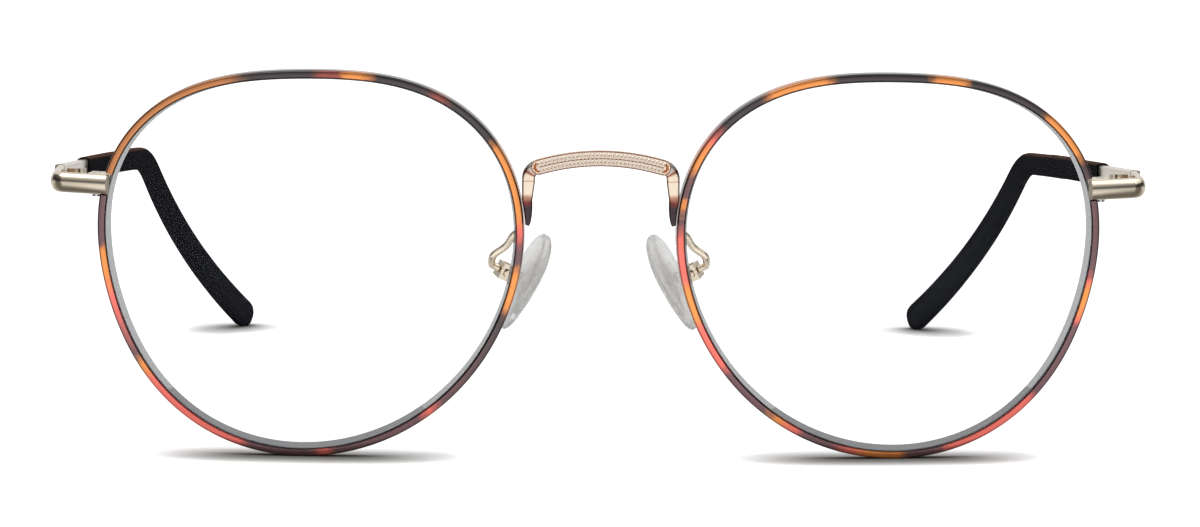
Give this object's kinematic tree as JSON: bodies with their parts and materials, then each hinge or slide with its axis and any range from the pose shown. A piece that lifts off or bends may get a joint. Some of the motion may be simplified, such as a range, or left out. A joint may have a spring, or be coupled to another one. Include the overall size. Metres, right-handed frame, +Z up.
{
  "type": "reading glasses",
  "caption": "Full-rim round wire reading glasses with a tortoise finish, a beaded arched bridge, rocking nose pads, and hinged temples with drop-bent acetate sleeves.",
  "frame": {"origin": "on the surface that the open glasses stand on, under the middle of their bounding box", "axes": "+X to the wearer's left, +Y from the front of the glasses to the ear tips, +Z up; the open glasses stand on the bottoms of the rims and the tips of the sleeves"},
  "size_m": [0.1326, 0.1446, 0.0468],
  "materials": {
    "tortoise_rim": "glossy enamel in tortoise patches of dark brown, coral red and amber over wire",
    "rose_gold": "polished rose-gold plating",
    "pale_gold": "polished pale-gold plating",
    "steel_screw": "bright machined screw steel",
    "dark_acetate": "smooth near-black brown acetate",
    "pad_core": "clear hard plastic core",
    "clear_silicone": "clear soft silicone",
    "clear_lens": "clear polished lens with a ground edge"
  },
  "bodies": {
    "front": {"bridge": "rose_gold", "left_rim": "tortoise_rim", "left_lens": "clear_lens", "left_endpiece": "pale_gold", "left_rim_lock_upper": "pale_gold", "left_rim_lock_lower": "pale_gold", "left_rim_lock_screw": "steel_screw", "left_hinge_front_leaf": "pale_gold", "left_hinge_screw": "steel_screw", "left_pad_arm": "pale_gold", "left_pad_box": "pale_gold", "left_pad_screw": "steel_screw", "right_rim": "tortoise_rim", "right_lens": "clear_lens", "right_endpiece": "pale_gold", "right_rim_lock_upper": "pale_gold", "right_rim_lock_lower": "pale_gold", "right_rim_lock_screw": "steel_screw", "right_hinge_front_leaf": "pale_gold", "right_hinge_screw": "steel_screw", "right_pad_arm": "pale_gold", "right_pad_box": "pale_gold", "right_pad_screw": "steel_screw"},
    "temple_left": {"left_temple": "pale_gold", "left_temple_sleeve": "dark_acetate", "left_hinge_temple_leaf": "pale_gold"},
    "temple_right": {"right_temple": "pale_gold", "right_temple_sleeve": "dark_acetate", "right_hinge_temple_leaf": "pale_gold"},
    "pad_left": {"left_nose_pad": "clear_silicone", "left_pad_insert": "pad_core"},
    "pad_right": {"right_nose_pad": "clear_silicone", "right_pad_insert": "pad_core"}
  },
  "joints": [
    {"name": "left_temple_fold", "type": "hinge", "parent": "front", "child": "temple_left", "pos_m": [0.0632, -0.05917, 0.03323], "axis": [0, 0.0547, 0.9985], "range_deg": [0, 87]},
    {"name": "right_temple_fold", "type": "hinge", "parent": "front", "child": "temple_right", "pos_m": [-0.0632, -0.05917, 0.03323], "axis": [0, -0.0547, -0.9985], "range_deg": [0, 78]},
    {"name": "left_pad_rock", "type": "hinge", "parent": "front", "child": "pad_left", "pos_m": [0.0114, -0.06264, 0.0222], "axis": [0.3338, 0.9094, 0.2481], "range_deg": [-12, 12]},
    {"name": "right_pad_rock", "type": "hinge", "parent": "front", "child": "pad_right", "pos_m": [-0.0114, -0.06264, 0.0222], "axis": [-0.3338, 0.9094, 0.2481], "range_deg": [-12, 12]}
  ]
}
